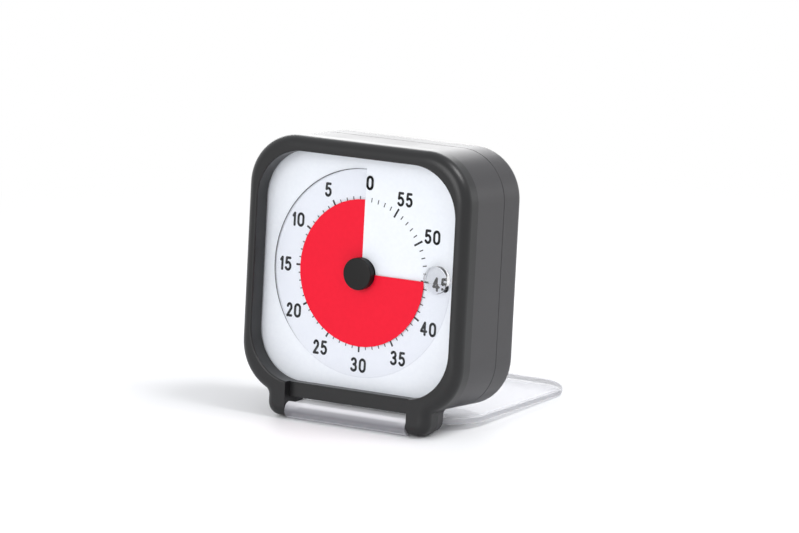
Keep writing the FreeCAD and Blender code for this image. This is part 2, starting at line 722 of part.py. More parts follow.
def stator():
    """A plate with a leg down each side, and a round window for the magnet."""
    x, z = arbor_places()[2]
    cx, cz = coil_centre()
    y0 = stator_front() + ROTOR_AIR
    plate = box(cx - STATOR_HALF, cx + STATOR_HALF, y0, y0 + STATOR_THICK, cz - CORE_HALF, z + STATOR_WIDTH / 2)
    between = STATOR_HALF - STATOR_LEG
    window = box(cx - between, cx + between, y0 - 1, y0 + 2, cz - CORE_HALF - 1, z - STATOR_WIDTH / 2)
    plate = plate.cut(window)
    return plate.cut(rod(ROTOR_RADIUS + ROTOR_AIR, x, z, y0 - 1, y0 + 2))


def core_front():
    return stator_front() + ROTOR_AIR + STATOR_THICK


def coil_core():
    """The soft iron bar that joins the stator's two legs behind them."""
    cx, cz = coil_centre()
    y0 = core_front()
    return box(cx - STATOR_HALF, cx + STATOR_HALF, y0, y0 + STATOR_THICK, cz - CORE_HALF, cz + CORE_HALF)


def core_clear(cx, cz):
    y0 = core_front()
    return box(cx - COIL_LENGTH, cx + COIL_LENGTH, y0, y0 + STATOR_THICK, cz - CORE_HALF, cz + CORE_HALF)


def coil_bobbin():
    cx, cz = coil_centre()
    y = core_front() + STATOR_THICK / 2
    half = COIL_LENGTH / 2
    spool = bar(CORE_HALF + WINDING_INSET * 2, cx - half, cx + half, y, cz)
    for side in (-1, 1):
        ends = sorted((cx + side * half, cx + side * (half + BOBBIN_FLANGE)))
        spool = spool.fuse(bar(COIL_RADIUS, ends[0], ends[1], y, cz))
    return spool.cut(core_clear(cx, cz)).removeSplitter()


def coil_winding():
    cx, cz = coil_centre()
    y = core_front() + STATOR_THICK / 2
    half = COIL_LENGTH / 2
    outer = bar(COIL_RADIUS - WINDING_INSET, cx - half, cx + half, y, cz)
    return outer.cut(bar(CORE_HALF + WINDING_INSET * 2, cx - half - 1, cx + half + 1, y, cz))


# Circuit board, behind the movement
BOARD_FRONT = MOVEMENT_BACK + BOARD_POST
BOARD_BACK = BOARD_FRONT + BOARD_THICK
SWITCH_CAN_DEPTH = (REAR_INNER - BOARD_BACK) * SWITCH_CAN_SHARE


def board_posts():
    inset = 2 * BOARD_POST_RADIUS
    xs = (-BOARD_HALF_W + inset, BOARD_HALF_W - inset)
    zs = (BOARD_BOTTOM + inset, BOARD_TOP - inset)
    return [(x, z) for x in xs for z in zs]


def circuit_board():
    return box(-BOARD_HALF_W, BOARD_HALF_W, BOARD_FRONT, BOARD_BACK, BOARD_BOTTOM, BOARD_TOP)


def driver_chip():
    """A dome of potting resin over the chip."""
    ball_radius = (CHIP_RADIUS ** 2 + CHIP_HEIGHT ** 2) / (2 * CHIP_HEIGHT)
    half = CHIP_RADIUS + 1
    middle = (BOARD_TOP + BOARD_BOTTOM) / 2
    ball = Part.makeSphere(ball_radius, Vector(0, BOARD_BACK + CHIP_HEIGHT - ball_radius, middle))
    return ball.common(box(-half, half, BOARD_BACK, BOARD_BACK + CHIP_HEIGHT + 1, middle - half, middle + half))


def quartz_crystal():
    x = BOARD_HALF_W / 2
    return bar(CRYSTAL_RADIUS, x, x + CRYSTAL_LENGTH, BOARD_BACK + CRYSTAL_RADIUS, (BOARD_TOP + BOARD_BOTTOM) / 2)


def switch_can():
    half_h = SWITCH_CAN_HALF_H
    can = box(SWITCH_X - SWITCH_CAN_HALF_W, SWITCH_X + SWITCH_CAN_HALF_W, BOARD_BACK, BOARD_BACK + SWITCH_CAN_DEPTH,
              SWITCH_MID - half_h, SWITCH_MID + half_h)
    stem_half = SWITCH_HALF_W / 2 + SWITCH_RUN
    way = box(SWITCH_X - stem_half, SWITCH_X + stem_half, BOARD_BACK + SWITCH_CAN_DEPTH / 2,
              BOARD_BACK + SWITCH_CAN_DEPTH + 1, SWITCH_Z - stem_half, SWITCH_Z + SWITCH_TRAVEL + stem_half)
    return can.cut(way)


SWITCH_MID = SWITCH_Z + SWITCH_TRAVEL / 2


def alarm_switch():
    """The sliding cap: a stem in the switch, a flange inside the cover and a ribbed thumb pad outside."""
    stem_half = SWITCH_HALF_W / 2
    stem = box(SWITCH_X - stem_half, SWITCH_X + stem_half, BOARD_BACK + SWITCH_CAN_DEPTH / 2 + SWITCH_RUN,
               REAR_INNER, SWITCH_Z - stem_half, SWITCH_Z + stem_half)
    flange_w = SWITCH_HALF_W + SWITCH_FLANGE
    flange_h = SWITCH_HALF_H + SWITCH_FLANGE
    flange = box(SWITCH_X - flange_w, SWITCH_X + flange_w, REAR_INNER - SWITCH_RUN - SWITCH_FLANGE,
                 REAR_INNER - SWITCH_RUN, SWITCH_Z - flange_h, SWITCH_Z + flange_h)
    pad = box(SWITCH_X - SWITCH_HALF_W, SWITCH_X + SWITCH_HALF_W, REAR_INNER - SWITCH_RUN,
              BODY_DEPTH + SWITCH_PROUD, SWITCH_Z - SWITCH_HALF_H, SWITCH_Z + SWITCH_HALF_H)
    cap = stem.fuse([flange, pad])
    for i in (-1, 0, 1):
        z = SWITCH_Z + i * SWITCH_HALF_H / 2
        cap = cap.cut(box(SWITCH_X - SWITCH_HALF_W - 1, SWITCH_X + SWITCH_HALF_W + 1,
                          BODY_DEPTH + SWITCH_PROUD / 2, BODY_DEPTH + 2, z - SWITCH_RUN, z + SWITCH_RUN))
    return cap.removeSplitter()


# Sounder, against a ring inside the rear cover
def sounder_plate():
    y1 = REAR_INNER - SOUND_CAVITY
    return rod(SOUNDER_RADIUS, SOUNDER_X, SOUNDER_Z, y1 - SOUNDER_THICK, y1)


def sounder_ceramic():
    y1 = REAR_INNER - SOUND_CAVITY - SOUNDER_THICK
    return rod(CERAMIC_RADIUS, SOUNDER_X, SOUNDER_Z, y1 - SOUNDER_THICK, y1)


# Battery and its contacts
def battery_cell():
    nub_end = BAY_HALF - CONTACT_THICK
    shoulder = nub_end - NUB_LENGTH
    can = bar(CELL_RADIUS, shoulder - CELL_LENGTH, shoulder, CELL_Y, CELL_Z)
    edges = [e for e in can.Edges if len(e.Vertexes) == 1]
    can = can.makeChamfer(CELL_CHAMFER, edges)
    return can.fuse(bar(NUB_RADIUS, shoulder, nub_end, CELL_Y, CELL_Z)).removeSplitter()


def contact_plate(side):
    ends = sorted((side * (BAY_HALF - CONTACT_THICK), side * BAY_HALF))
    plate = box(ends[0], ends[1], CELL_Y - CONTACT_HALF, CELL_Y + CONTACT_HALF,
                CELL_Z - CONTACT_HALF, CELL_Z + CONTACT_HALF)
    tab = box(ends[0], ends[1], BAY_FRONT - CONTACT_TAB, CELL_Y - CONTACT_HALF,
              CELL_Z - CONTACT_TAB, CELL_Z + CONTACT_TAB)
    return plate.fuse(tab).removeSplitter()


def contact_spring():
    """A coil of wire between the negative plate and the cell."""
    rise = SPRING_LENGTH - 2 * SPRING_WIRE
    steps = SPRING_STEPS * SPRING_TURNS
    rings = []
    for i in range(steps + 1):
        turn = 2 * math.pi * i / SPRING_STEPS
        out = Vector(0, math.cos(turn), math.sin(turn))
        middle = Vector(rise * i / steps, 0, 0) + out * SPRING_RADIUS
        ring = []
        for j in range(SPRING_SIDES):
            around = 2 * math.pi * j / SPRING_SIDES
            along = Vector(SPRING_WIRE * math.sin(around), 0, 0)
            ring.append(middle + out * (SPRING_WIRE * math.cos(around)) + along)
        rings.append(ring)
    outlines = [rings[0], rings[-1]]
    for here, there in zip(rings, rings[1:]):
        for j in range(SPRING_SIDES):
            outlines.append([here[j - 1], here[j], there[j]])
            outlines.append([here[j - 1], there[j], there[j - 1]])
    wire = closed(outlines)
    wire.translate(Vector(-BAY_HALF + CONTACT_THICK + SPRING_WIRE, CELL_Y, CELL_Z))
    return wire


# Screws
def case_screws():
    screws = []
    for x, z in screw_places():
        seat = BODY_DEPTH - SCREW_SINK
        head = rod(SCREW_HEAD, x, z, seat, seat + SCREW_HEAD_DEPTH)
        for wide, tall in ((SCREW_HEAD * 0.6, DRIVE_HALF), (DRIVE_HALF, SCREW_HEAD * 0.6)):
            head = head.cut(box(x - wide, x + wide, seat + SCREW_HEAD_DEPTH / 2, seat + SCREW_HEAD_DEPTH + 1,
                                z - tall, z + tall))
        shank = rod(SCREW_RADIUS, x, z, CASE_DEPTH - SCREW_BITE + HOLE_RUN, seat)
        screws.append(head.fuse(shank).removeSplitter())
    return Part.makeCompound(screws)


NODES = {
    "front_frame": front_frame,
    "mid_case": mid_case,
    "rear_cover": rear_cover,
    "battery_door": battery_door,
    "dial_face": dial_face,
    "clear_disc": clear_disc,
    "red_disc": red_disc,
    "finger_tab": finger_tab,
    "set_knob": set_knob,
    "disc_hub": disc_hub,
    "spindle": spindle,
    "lid_stand": lid_stand,
    "hinge_pins": hinge_pins,
    "movement_front": movement_front,
    "movement_back": movement_back,
    "output_wheel": output_wheel,
    "third_wheel": lambda: train_wheel(0),
    "second_wheel": lambda: train_wheel(1),
    "rotor": rotor,
    "stator": stator,
    "coil_core": coil_core,
    "coil_bobbin": coil_bobbin,
    "coil_winding": coil_winding,
    "circuit_board": circuit_board,
    "driver_chip": driver_chip,
    "quartz_crystal": quartz_crystal,
    "switch_can": switch_can,
    "alarm_switch": alarm_switch,
    "sounder_plate": sounder_plate,
    "sounder_ceramic": sounder_ceramic,
    "battery_cell": battery_cell,
    "contact_positive": lambda: contact_plate(1),
    "contact_negative": lambda: contact_plate(-1),
    "contact_spring": contact_spring,
    "case_screws": case_screws,
}


def stand(shapes):
    """Lean the whole timer back, put its lowest point on the floor and centre its footprint."""
    for shape in shapes.values():
        shape.rotate(Vector(0, 0, 0), Vector(1, 0, 0), -LEAN)
    whole = Part.makeCompound(list(shapes.values())).optimalBoundingBox(False)
    shift = Vector(-(whole.XMin + whole.XMax) / 2, -(whole.YMin + whole.YMax) / 2, -whole.ZMin)
    for shape in shapes.values():
        shape.translate(shift)
    return shift


def main():
    shapes = {name: make() for name, make in NODES.items()}
    shift = stand(shapes)
    print("shift", round(shift.x, 4), round(shift.y, 4), round(shift.z, 4))
    for name, shape in shapes.items():
        ok = "ok" if shape.isValid() else "BAD"
        print(name, ok, len(shape.Solids), round(shape.Volume, 2))
        shape.exportStep("parts/" + name + ".step")


main()
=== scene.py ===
import math

import bmesh
import bpy
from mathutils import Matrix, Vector


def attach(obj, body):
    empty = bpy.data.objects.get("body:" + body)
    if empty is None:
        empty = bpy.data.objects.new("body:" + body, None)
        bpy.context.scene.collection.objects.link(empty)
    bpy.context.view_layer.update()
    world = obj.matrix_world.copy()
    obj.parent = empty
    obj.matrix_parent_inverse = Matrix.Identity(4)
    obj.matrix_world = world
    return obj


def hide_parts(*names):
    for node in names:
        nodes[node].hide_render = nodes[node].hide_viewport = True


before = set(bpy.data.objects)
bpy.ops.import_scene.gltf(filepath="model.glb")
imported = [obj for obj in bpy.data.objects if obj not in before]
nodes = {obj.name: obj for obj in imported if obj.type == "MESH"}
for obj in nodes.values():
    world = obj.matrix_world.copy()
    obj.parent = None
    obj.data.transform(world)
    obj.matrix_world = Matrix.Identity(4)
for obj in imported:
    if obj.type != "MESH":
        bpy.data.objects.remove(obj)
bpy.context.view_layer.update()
MM = 0.001

# Camera: the photograph's angle, a long lens aimed a little right of the dial
AZIMUTH = math.radians(32.6)
ELEVATION = math.radians(12.3)
DISTANCE = 1.6
PIXELS_PER_METRE = 3436.0
IMAGE_WIDTH = 799
SENSOR = 36.0
NEAREST = 0.01
FARTHEST = 20.0
AIM = Vector((0.01299, -0.02945, 0.04822))


def add_camera():
    back = Vector((
        math.sin(AZIMUTH) * math.cos(ELEVATION),
        -math.cos(AZIMUTH) * math.cos(ELEVATION),
        math.sin(ELEVATION),
    ))
    data = bpy.data.cameras.new("camera")
    data.sensor_width = SENSOR
    data.sensor_fit = "HORIZONTAL"
    data.lens = PIXELS_PER_METRE * DISTANCE * SENSOR / IMAGE_WIDTH
    data.clip_start = NEAREST
    data.clip_end = FARTHEST
    camera = bpy.data.objects.new("camera", data)
    camera.location = AIM + back * DISTANCE
    camera.rotation_euler = back.to_track_quat("Z", "Y").to_euler()
    bpy.context.scene.collection.objects.link(camera)
    bpy.context.scene.camera = camera


# Light: soft panels in front, overhead and behind, each with its place, width, height and brightness
PANELS = {
    "key": ((-0.1, -1.45, 0.6), 1.0, 1.0, 3.05),
    "overhead": ((0.62, 0.1, 1.05), 0.5, 0.5, 10.0),
    "behind_left": ((-1.0, 1.5, 0.45), 1.4, 0.9, 3.0),
    "behind_right": ((1.0, 1.5, 0.2), 0.8, 0.4, 0.8),
}
LIT_MIDDLE = Vector((0.0, 0.0, 0.04))
WORLD_COLOR = (0.97, 0.98, 1.0)
WORLD_GLOW = 0.6
WHITE_GLOW = 1.0


def add_panel(name, place, wide, tall, glow):
    """A soft panel turned to the object; glow is its brightness, where 1 is white."""
    data = bpy.data.lights.new(name, "AREA")
    data.shape = "RECTANGLE"
    data.size = wide
    data.size_y = tall
    data.energy = glow * math.pi * wide * tall
    light = bpy.data.objects.new(name, data)
    light.location = place
    light.rotation_euler = (Vector(place) - LIT_MIDDLE).to_track_quat("Z", "Y").to_euler()
    light.visible_camera = False
    bpy.context.scene.collection.objects.link(light)


def seen_directly(tree):
    """One for a ray from the camera or by way of a shiny or clear surface, and zero for any other."""
    rays = tree.nodes.new("ShaderNodeLightPath")
    seen = rays.outputs["Is Camera Ray"]
    for kind in ("Is Glossy Ray", "Is Transmission Ray"):
        either = tree.nodes.new("ShaderNodeMath")
        either.operation = "MAXIMUM"
        tree.links.new(seen, either.inputs[0])
        tree.links.new(rays.outputs[kind], either.inputs[1])
        seen = either.outputs["Value"]
    return seen


def add_light():
    for name, panel in PANELS.items():
        add_panel(name, *panel)
    world = bpy.data.worlds.new("studio")
    world.use_nodes = True
    tree = world.node_tree
    shade = tree.nodes["Background"]
    shade.inputs["Color"].default_value = (*WORLD_COLOR, 1.0)
    glow = tree.nodes.new("ShaderNodeMix")
    glow.inputs["A"].default_value = WORLD_GLOW
    glow.inputs["B"].default_value = WHITE_GLOW
    tree.links.new(seen_directly(tree), glow.inputs["Factor"])
    tree.links.new(glow.outputs["Result"], shade.inputs["Strength"])
    bpy.context.scene.world = world
    bpy.context.scene.view_settings.view_transform = "Standard"


# Where the dial lies: its centre, its right, its up and the way it faces
LEAN = math.radians(5.4)
DIAL_DEPTH = 6.2 * MM
BEZEL_FRONT = Vector((0.0, -35.2323, 45.227)) * MM
RIGHT = Vector((1.0, 0.0, 0.0))
UP = Vector((0.0, math.sin(LEAN), math.cos(LEAN)))
FACING = Vector((0.0, -math.cos(LEAN), math.sin(LEAN)))
DIAL_CENTRE = BEZEL_FRONT - FACING * DIAL_DEPTH
PITCH = 1.0
DIAL_THICK = 0.3
PRINT_LIFT = 0.015

RAMP_LOW = 0.35
RAMP_HIGH = 0.65


class Shader:
    """A material round a Principled BSDF, with short ways to add what drives it."""

    def __init__(self, name, color, roughness, metallic=0.0):
        self.material = bpy.data.materials.new(name)
        self.material.use_nodes = True
        self.tree = self.material.node_tree
        self.base = self.tree.nodes["Principled BSDF"]
        self.base.inputs["Base Color"].default_value = (*color, 1.0)
        self.base.inputs["Roughness"].default_value = roughness
        self.base.inputs["Metallic"].default_value = metallic

    def add(self, kind):
        return self.tree.nodes.new(kind)

    def link(self, a, b):
        self.tree.links.new(a, b)

    def feed(self, socket, value):
        """Set a socket to a number, or link it to another node's output."""
        if isinstance(value, float):
            socket.default_value = value
        else:
            self.link(value, socket)

    def reckon(self, operation, *values, clamp=False):
        """The output of a Math node; each value is a number or another node's output."""
        node = self.add("ShaderNodeMath")
        node.operation = operation
        node.use_clamp = clamp
        for socket, value in zip(node.inputs, values):
            self.feed(socket, value)
        return node.outputs["Value"]

    def span(self, value, source, target=(0.0, 1.0), smooth=False):
        """The value carried from the source range over to the target range."""
        node = self.add("ShaderNodeMapRange")
        if smooth:
            node.interpolation_type = "SMOOTHSTEP"
        node.inputs["From Min"].default_value, node.inputs["From Max"].default_value = source
        node.inputs["To Min"].default_value, node.inputs["To Max"].default_value = target
        self.link(value, node.inputs["Value"])
        return node.outputs["Result"]

    def part_of(self, vector, axis):
        node = self.add("ShaderNodeSeparateXYZ")
        self.link(vector, node.inputs["Vector"])
        return node.outputs[axis]

    def noise(self, scale, detail=3.0, stretch=(1.0, 1.0, 1.0)):
        place = self.add("ShaderNodeTexCoord")
        mapping = self.add("ShaderNodeMapping")
        mapping.inputs["Scale"].default_value = stretch
        noise = self.add("ShaderNodeTexNoise")
        noise.inputs["Scale"].default_value = scale
        noise.inputs["Detail"].default_value = detail
        self.link(place.outputs["Object"], mapping.inputs["Vector"])
        self.link(mapping.outputs["Vector"], noise.inputs["Vector"])
        return noise.outputs["Fac"]

    def vary_color(self, factor, low, high):
        ramp = self.add("ShaderNodeValToRGB")
        first, last = ramp.color_ramp.elements
        first.color = (*low, 1.0)
        last.color = (*high, 1.0)
        first.position = RAMP_LOW
        last.position = RAMP_HIGH
        self.link(factor, ramp.inputs["Fac"])
        self.link(ramp.outputs["Color"], self.base.inputs["Base Color"])

    def vary_roughness(self, factor, low, high):
        self.link(self.span(factor, (0.0, 1.0), (low, high)), self.base.inputs["Roughness"])

    def bump(self, factor, strength, depth):
        bump = self.add("ShaderNodeBump")
        bump.inputs["Strength"].default_value = strength
        bump.inputs["Distance"].default_value = depth
        self.link(factor, bump.inputs["Height"])
        self.link(bump.outputs["Normal"], self.base.inputs["Normal"])

    def show(self, surface):
        self.link(surface, self.tree.nodes["Material Output"].inputs["Surface"])

    def see_through(self, opacity, tint):
        """Mix with plain see-through; opacity is a number or another node's output."""
        through = self.add("ShaderNodeBsdfTransparent")
        through.inputs["Color"].default_value = (*tint, 1.0)
        mix = self.add("ShaderNodeMixShader")
        self.feed(mix.inputs["Fac"], opacity)
        self.link(through.outputs["BSDF"], mix.inputs[1])
        self.link(self.base.outputs["BSDF"], mix.inputs[2])
        self.show(mix.outputs["Shader"])


# Moulded plastics: colour, roughness and shine
CASE_PLASTIC = ((0.036, 0.0345, 0.037), 0.38, 0.4)
# Painted shade: the bezel is painted darker than the case, standing for the darker reflections on its
# rounded lip
BEZEL_PAINTED_SHADE_PLASTIC = ((0.009, 0.009, 0.0095), 0.33, 0.4)
KNOB_PLASTIC = ((0.010, 0.0095, 0.0095), 0.4, 0.2)
GREY_PLASTIC = ((0.30, 0.30, 0.31), 0.5)
BOARD_LAMINATE = ((0.02, 0.12, 0.05), 0.35)
CERAMIC = ((0.80, 0.78, 0.72), 0.5)
CELL_JACKET = ((0.10, 0.105, 0.115), 0.3)
GRAIN_SCALE = 5200.0
GRAIN_STRENGTH = 0.25
GRAIN_DEPTH = 0.00003
SHEEN_SCALE = 60.0
SHEEN_LESS = 0.04
SHEEN_MORE = 0.05

# Metals: colour and roughness, brushed along one axis
STEEL = ((0.62, 0.62, 0.64), 0.3)
BRASS = ((0.78, 0.58, 0.26), 0.32)
COPPER = ((0.80, 0.36, 0.16), 0.3)
BRUSH_SCALE = 1200.0
BRUSH_STRETCH = (1.0, 8.0, 1.0)
BRUSH_LESS = 0.06
BRUSH_MORE = 0.08


def moulded(name, color, roughness, shine=0.5):
    """Satin moulded plastic with a very fine spark-eroded grain."""
    shader = Shader(name, color, roughness)
    shader.base.inputs["Specular IOR Level"].default_value = shine
    fine = shader.noise(GRAIN_SCALE, 2.0)
    broad = shader.noise(SHEEN_SCALE, 2.0)
    shader.vary_roughness(broad, roughness - SHEEN_LESS, roughness + SHEEN_MORE)
    shader.bump(fine, GRAIN_STRENGTH, GRAIN_DEPTH)
    return shader.material


def metal(name, color, roughness):
    shader = Shader(name, color, roughness, 1.0)
    brushed = shader.noise(BRUSH_SCALE, 3.0, BRUSH_STRETCH)
    shader.vary_roughness(brushed, roughness - BRUSH_LESS, roughness + BRUSH_MORE)
    return shader.material


def card():
    """The dial's white card, a little blue, with a faint tooth."""
    shader = Shader("white_card", (0.82, 0.85, 0.90), 0.5)
    shader.vary_color(shader.noise(900.0, 4.0), (0.81, 0.84, 0.89), (0.83, 0.86, 0.905))
    shader.bump(shader.noise(3000.0), 0.06, 0.00002)
    return shader.material


def red_print():
    shader = Shader("red_print", (0.82, 0.004, 0.027), 0.5)
    shader.base.inputs["Specular IOR Level"].default_value = 0.2
    shader.vary_color(shader.noise(700.0, 4.0), (0.81, 0.0035, 0.026), (0.83, 0.0045, 0.028))
    shader.bump(shader.noise(2500.0), 0.05, 0.00002)
    return shader.material


def ink():
    shader = Shader("ink", (0.006, 0.006, 0.007), 0.5)
    shader.vary_color(shader.noise(4000.0), (0.005, 0.005, 0.006), (0.010, 0.010, 0.011))
    return shader.material


# The film's cut edge is a real fine edge; its dark line is painted shade, opaque towards one side of the
# dial and fading out round the rest
FILM_OPACITY = 0.015
FILM_TINT = (0.985, 0.985, 0.99)
RIM_PAINTED_SHADE_SIDE = RIGHT * -0.9 + UP * 0.43
RIM_FADE = (0.006, 0.024)
RIM_OPACITY = (0.03, 0.95)


def film():
    shader = Shader("clear_film", (0.72, 0.74, 0.78), 0.12)
    shader.vary_roughness(shader.noise(200.0), 0.10, 0.16)
    shader.see_through(FILM_OPACITY, FILM_TINT)
    return shader.material


def film_rim():
    # Painted shade: the rim's dark line shows towards one side of the dial and fades out round the rest,
    # standing for the cut edge's shadow and refraction
    shader = Shader("film_rim", (0.02, 0.02, 0.025), 0.3)
    place = shader.add("ShaderNodeNewGeometry")
    toward = shader.add("ShaderNodeVectorMath")
    toward.operation = "SUBTRACT"
    toward.inputs[1].default_value = DIAL_CENTRE
    shader.link(place.outputs["Position"], toward.inputs[0])
    side = shader.add("ShaderNodeVectorMath")
    side.operation = "DOT_PRODUCT"
    side.inputs[1].default_value = RIM_PAINTED_SHADE_SIDE
    shader.link(toward.outputs["Vector"], side.inputs[0])
    shader.see_through(shader.span(side.outputs["Value"], RIM_FADE, RIM_OPACITY, smooth=True), FILM_TINT)
    return shader.material


def lens():
    """The clear bump, which bends what is printed under it."""
    shader = Shader("clear_tab", (0.97, 0.97, 0.98), 0.03)
    shader.base.inputs["Transmission Weight"].default_value = 1.0
    shader.base.inputs["IOR"].default_value = 1.49
    shader.vary_roughness(shader.noise(300.0), 0.02, 0.05)
    return shader.material


# The lid: where its hinge end passes into its plate, how each looks with its broad faces painted pale as
# painted reflection, and the painted glow the hinge end gives off, which stands for light carried through
# the plastic
HINGE_TO_PLATE = (-0.034, -0.026)
LID_DEEP = (0.19, 0.19, 0.21)
LID_PALE = (0.78, 0.78, 0.81)
LID_PAINTED_PALE_FACE = 0.6
LID_PALE_PLATE = 0.46
LID_TINT = (0.95, 0.95, 0.957)
LID_EDGE_TO_FACE = (0.45, 0.9)
LID_OPACITY = (0.76, 0.14)
HINGE_PAINTED_GLOW = 0.5
HINGE_PAINTED_GLOW_COLOR = (0.92, 0.92, 0.96)


def acrylic():
    """Thick clear plastic: broad faces almost clear and painted pale as a painted reflection, cut edges a
    deeper tint, the hinge end's top given a painted glow for light carried through the plastic.
    """
    shader = Shader("acrylic", (0.8, 0.8, 0.84), 0.12)
    place = shader.add("ShaderNodeTexCoord")
    upward = shader.part_of(place.outputs["Normal"], "Z")
    along = shader.part_of(place.outputs["Object"], "Y")
    broad = shader.reckon("ABSOLUTE", upward)
    plate = shader.span(along, HINGE_TO_PLATE, smooth=True)
    # Painted reflection: broad faces that face up or down are painted pale, while the cut edges keep the
    # deeper tint
    painted_pale = shader.reckon("MULTIPLY", broad, LID_PAINTED_PALE_FACE)
    shader.vary_color(shader.reckon("MULTIPLY_ADD", plate, LID_PALE_PLATE, painted_pale), LID_DEEP, LID_PALE)
    # Painted light: the hinge end's upward faces glow, standing for light carried through the plastic
    hinge_painted_glow = shader.span(plate, (0.0, 1.0), (HINGE_PAINTED_GLOW, 0.0))
    glow = shader.reckon("MULTIPLY", upward, hinge_painted_glow, clamp=True)
    shader.base.inputs["Emission Color"].default_value = (*HINGE_PAINTED_GLOW_COLOR, 1.0)
    shader.link(glow, shader.base.inputs["Emission Strength"])
    shader.vary_roughness(shader.noise(300.0), 0.08, 0.14)
    face = shader.reckon("MULTIPLY", broad, plate)
    shader.see_through(shader.span(face, LID_EDGE_TO_FACE, LID_OPACITY), LID_TINT)
    return shader.material


def dress():
    """Give every CAD piece its material, and return the knob's."""
    knob = moulded("knob_plastic", *KNOB_PLASTIC)
    looks = {
        moulded("case_plastic", *CASE_PLASTIC): (
            "mid_case", "rear_cover", "battery_door", "alarm_switch", "driver_chip",
        ),
        moulded("bezel_painted_shade_plastic", *BEZEL_PAINTED_SHADE_PLASTIC): ("front_frame",),
        knob: ("set_knob", "disc_hub"),
        card(): ("dial_face",),
        red_print(): ("red_disc",),
        film(): ("clear_disc",),
        lens(): ("finger_tab",),
        acrylic(): ("lid_stand",),
        moulded("grey_plastic", *GREY_PLASTIC): (
            "movement_front", "movement_back", "third_wheel", "second_wheel", "rotor", "coil_bobbin",
        ),
        metal("steel", *STEEL): (
            "spindle", "hinge_pins", "case_screws", "stator", "coil_core", "switch_can",
            "contact_positive", "contact_negative", "contact_spring", "quartz_crystal",
        ),
        metal("brass", *BRASS): ("output_wheel", "sounder_plate"),
        metal("copper", *COPPER): ("coil_winding",),
        moulded("board_laminate", *BOARD_LAMINATE): ("circuit_board",),
        moulded("ceramic", *CERAMIC): ("sounder_ceramic",),
        moulded("cell_jacket", *CELL_JACKET): ("battery_cell",),
    }
    for material, names in looks.items():
        for name in names:
            data = nodes[name].data
            data.materials.clear()
            data.materials.append(material)
    return knob


def on_dial(x, z):
    """A point of the print, x right and z up in millimetres, laid on the rising face of the dial."""
    turn = math.atan2(-x, z) % (2 * math.pi)
    rise = PITCH * (turn / (2 * math.pi) - 0.5) + DIAL_THICK / 2 + PRINT_LIFT
    return DIAL_CENTRE + (RIGHT * x + UP * z + FACING * rise) * MM


def add_mesh(name, points, faces, material, body):
    data = bpy.data.meshes.new(name)
    data.from_pydata([tuple(p) for p in points], [], faces)
    data.materials.append(material)
    piece = bpy.data.objects.new(name, data)
    bpy.context.scene.collection.objects.link(piece)
    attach(piece, body)
    return piece


# Print on the dial, in millimetres; each tick is its inner and outer reach and its width
MINUTES = 60
NUMERAL_EVERY = 5
MAJOR_TICK = (20.3, 23.4, 0.6)
MINOR_TICK = (21.25, 22.6, 0.32)
NUMERAL_REACH_X = 27.2
NUMERAL_REACH_Z = 27.0
NUMERAL_RIGHT = 0.07
NUMERAL_LOWER = 0.22
NUMERAL_HEIGHT = 4.3
NUMERAL_GAP = 0.52
ZERO_LEFT = 0.08
DIGIT_WIDTHS = {"0": 2.5, "1": 1.25, "2": 2.15, "3": 2.4, "4": 2.55, "5": 2.35}
STROKE = 0.78
STROKE_END_DEGREES = 330
STROKE_END_STEPS = 11
SAME_POINT = 1e-9


def arc(cx, cz, rx, rz, start, end, steps=20):
    """Points along part of an ellipse, angles in degrees from the right, counter-clockwise."""
    found = []
    for i in range(steps + 1):
        turn = math.radians(start + (end - start) * i / steps)
        found.append((cx + rx * math.cos(turn), cz + rz * math.sin(turn)))
    return found


def digit_paths(digit):
    """Centre lines of a plain round-ended digit, one unit high and one unit wide."""
    shapes = {
        "0": [arc(0.5, 0.70, 0.5, 0.30, 0, 180) + arc(0.5, 0.30, 0.5, 0.30, 180, 360) + [(1.0, 0.70)]],
        "1": [[(0.0, 0.78), (1.0, 1.0), (1.0, 0.0)]],
        "2": [arc(0.5, 0.72, 0.48, 0.28, 165, -28) + [(0.0, 0.0), (1.0, 0.0)]],
        "3": [arc(0.46, 0.76, 0.44, 0.24, 150, -90) + arc(0.46, 0.26, 0.52, 0.26, 90, -150)],
        "4": [[(0.70, 0.0), (0.70, 1.0), (0.0, 0.28), (1.0, 0.28)]],
        "5": [[(0.90, 1.0), (0.14, 1.0), (0.06, 0.54)] + arc(0.46, 0.31, 0.53, 0.31, 120, -150)],
    }
    return shapes[digit]


def ribbon(path, width):
    """A flat stroke with round ends and joints, as a list of small convex outlines."""
    outlines = []
    for (x0, z0), (x1, z1) in zip(path, path[1:]):
        length = math.hypot(x1 - x0, z1 - z0)
        if length < SAME_POINT:
            continue
        nx = -(z1 - z0) / length * width / 2
        nz = (x1 - x0) / length * width / 2
        outlines.append([(x0 - nx, z0 - nz), (x1 - nx, z1 - nz), (x1 + nx, z1 + nz), (x0 + nx, z0 + nz)])
    for x, z in path:
        outlines.append(arc(x, z, width / 2, width / 2, 0, STROKE_END_DEGREES, STROKE_END_STEPS))
    return outlines


def print_on_dial(name, outlines, material):
    points = []
    faces = []
    for outline in outlines:
        first = len(points)
        points.extend(on_dial(x, z) for x, z in outline)
        faces.append(list(range(first, len(points))))
    add_mesh(name, points, faces, material, "case")


def tick_outline(minute, inner, outer, width):
    turn = 2 * math.pi * minute / MINUTES
    along = (-math.sin(turn), math.cos(turn))
    across = (math.cos(turn), math.sin(turn))
    corners = []
    for reach, side in ((inner, -0.5), (outer, -0.5), (outer, 0.5), (inner, 0.5)):
        x = along[0] * reach + across[0] * side * width
        z = along[1] * reach + across[1] * side * width
        corners.append((x, z))
    return corners


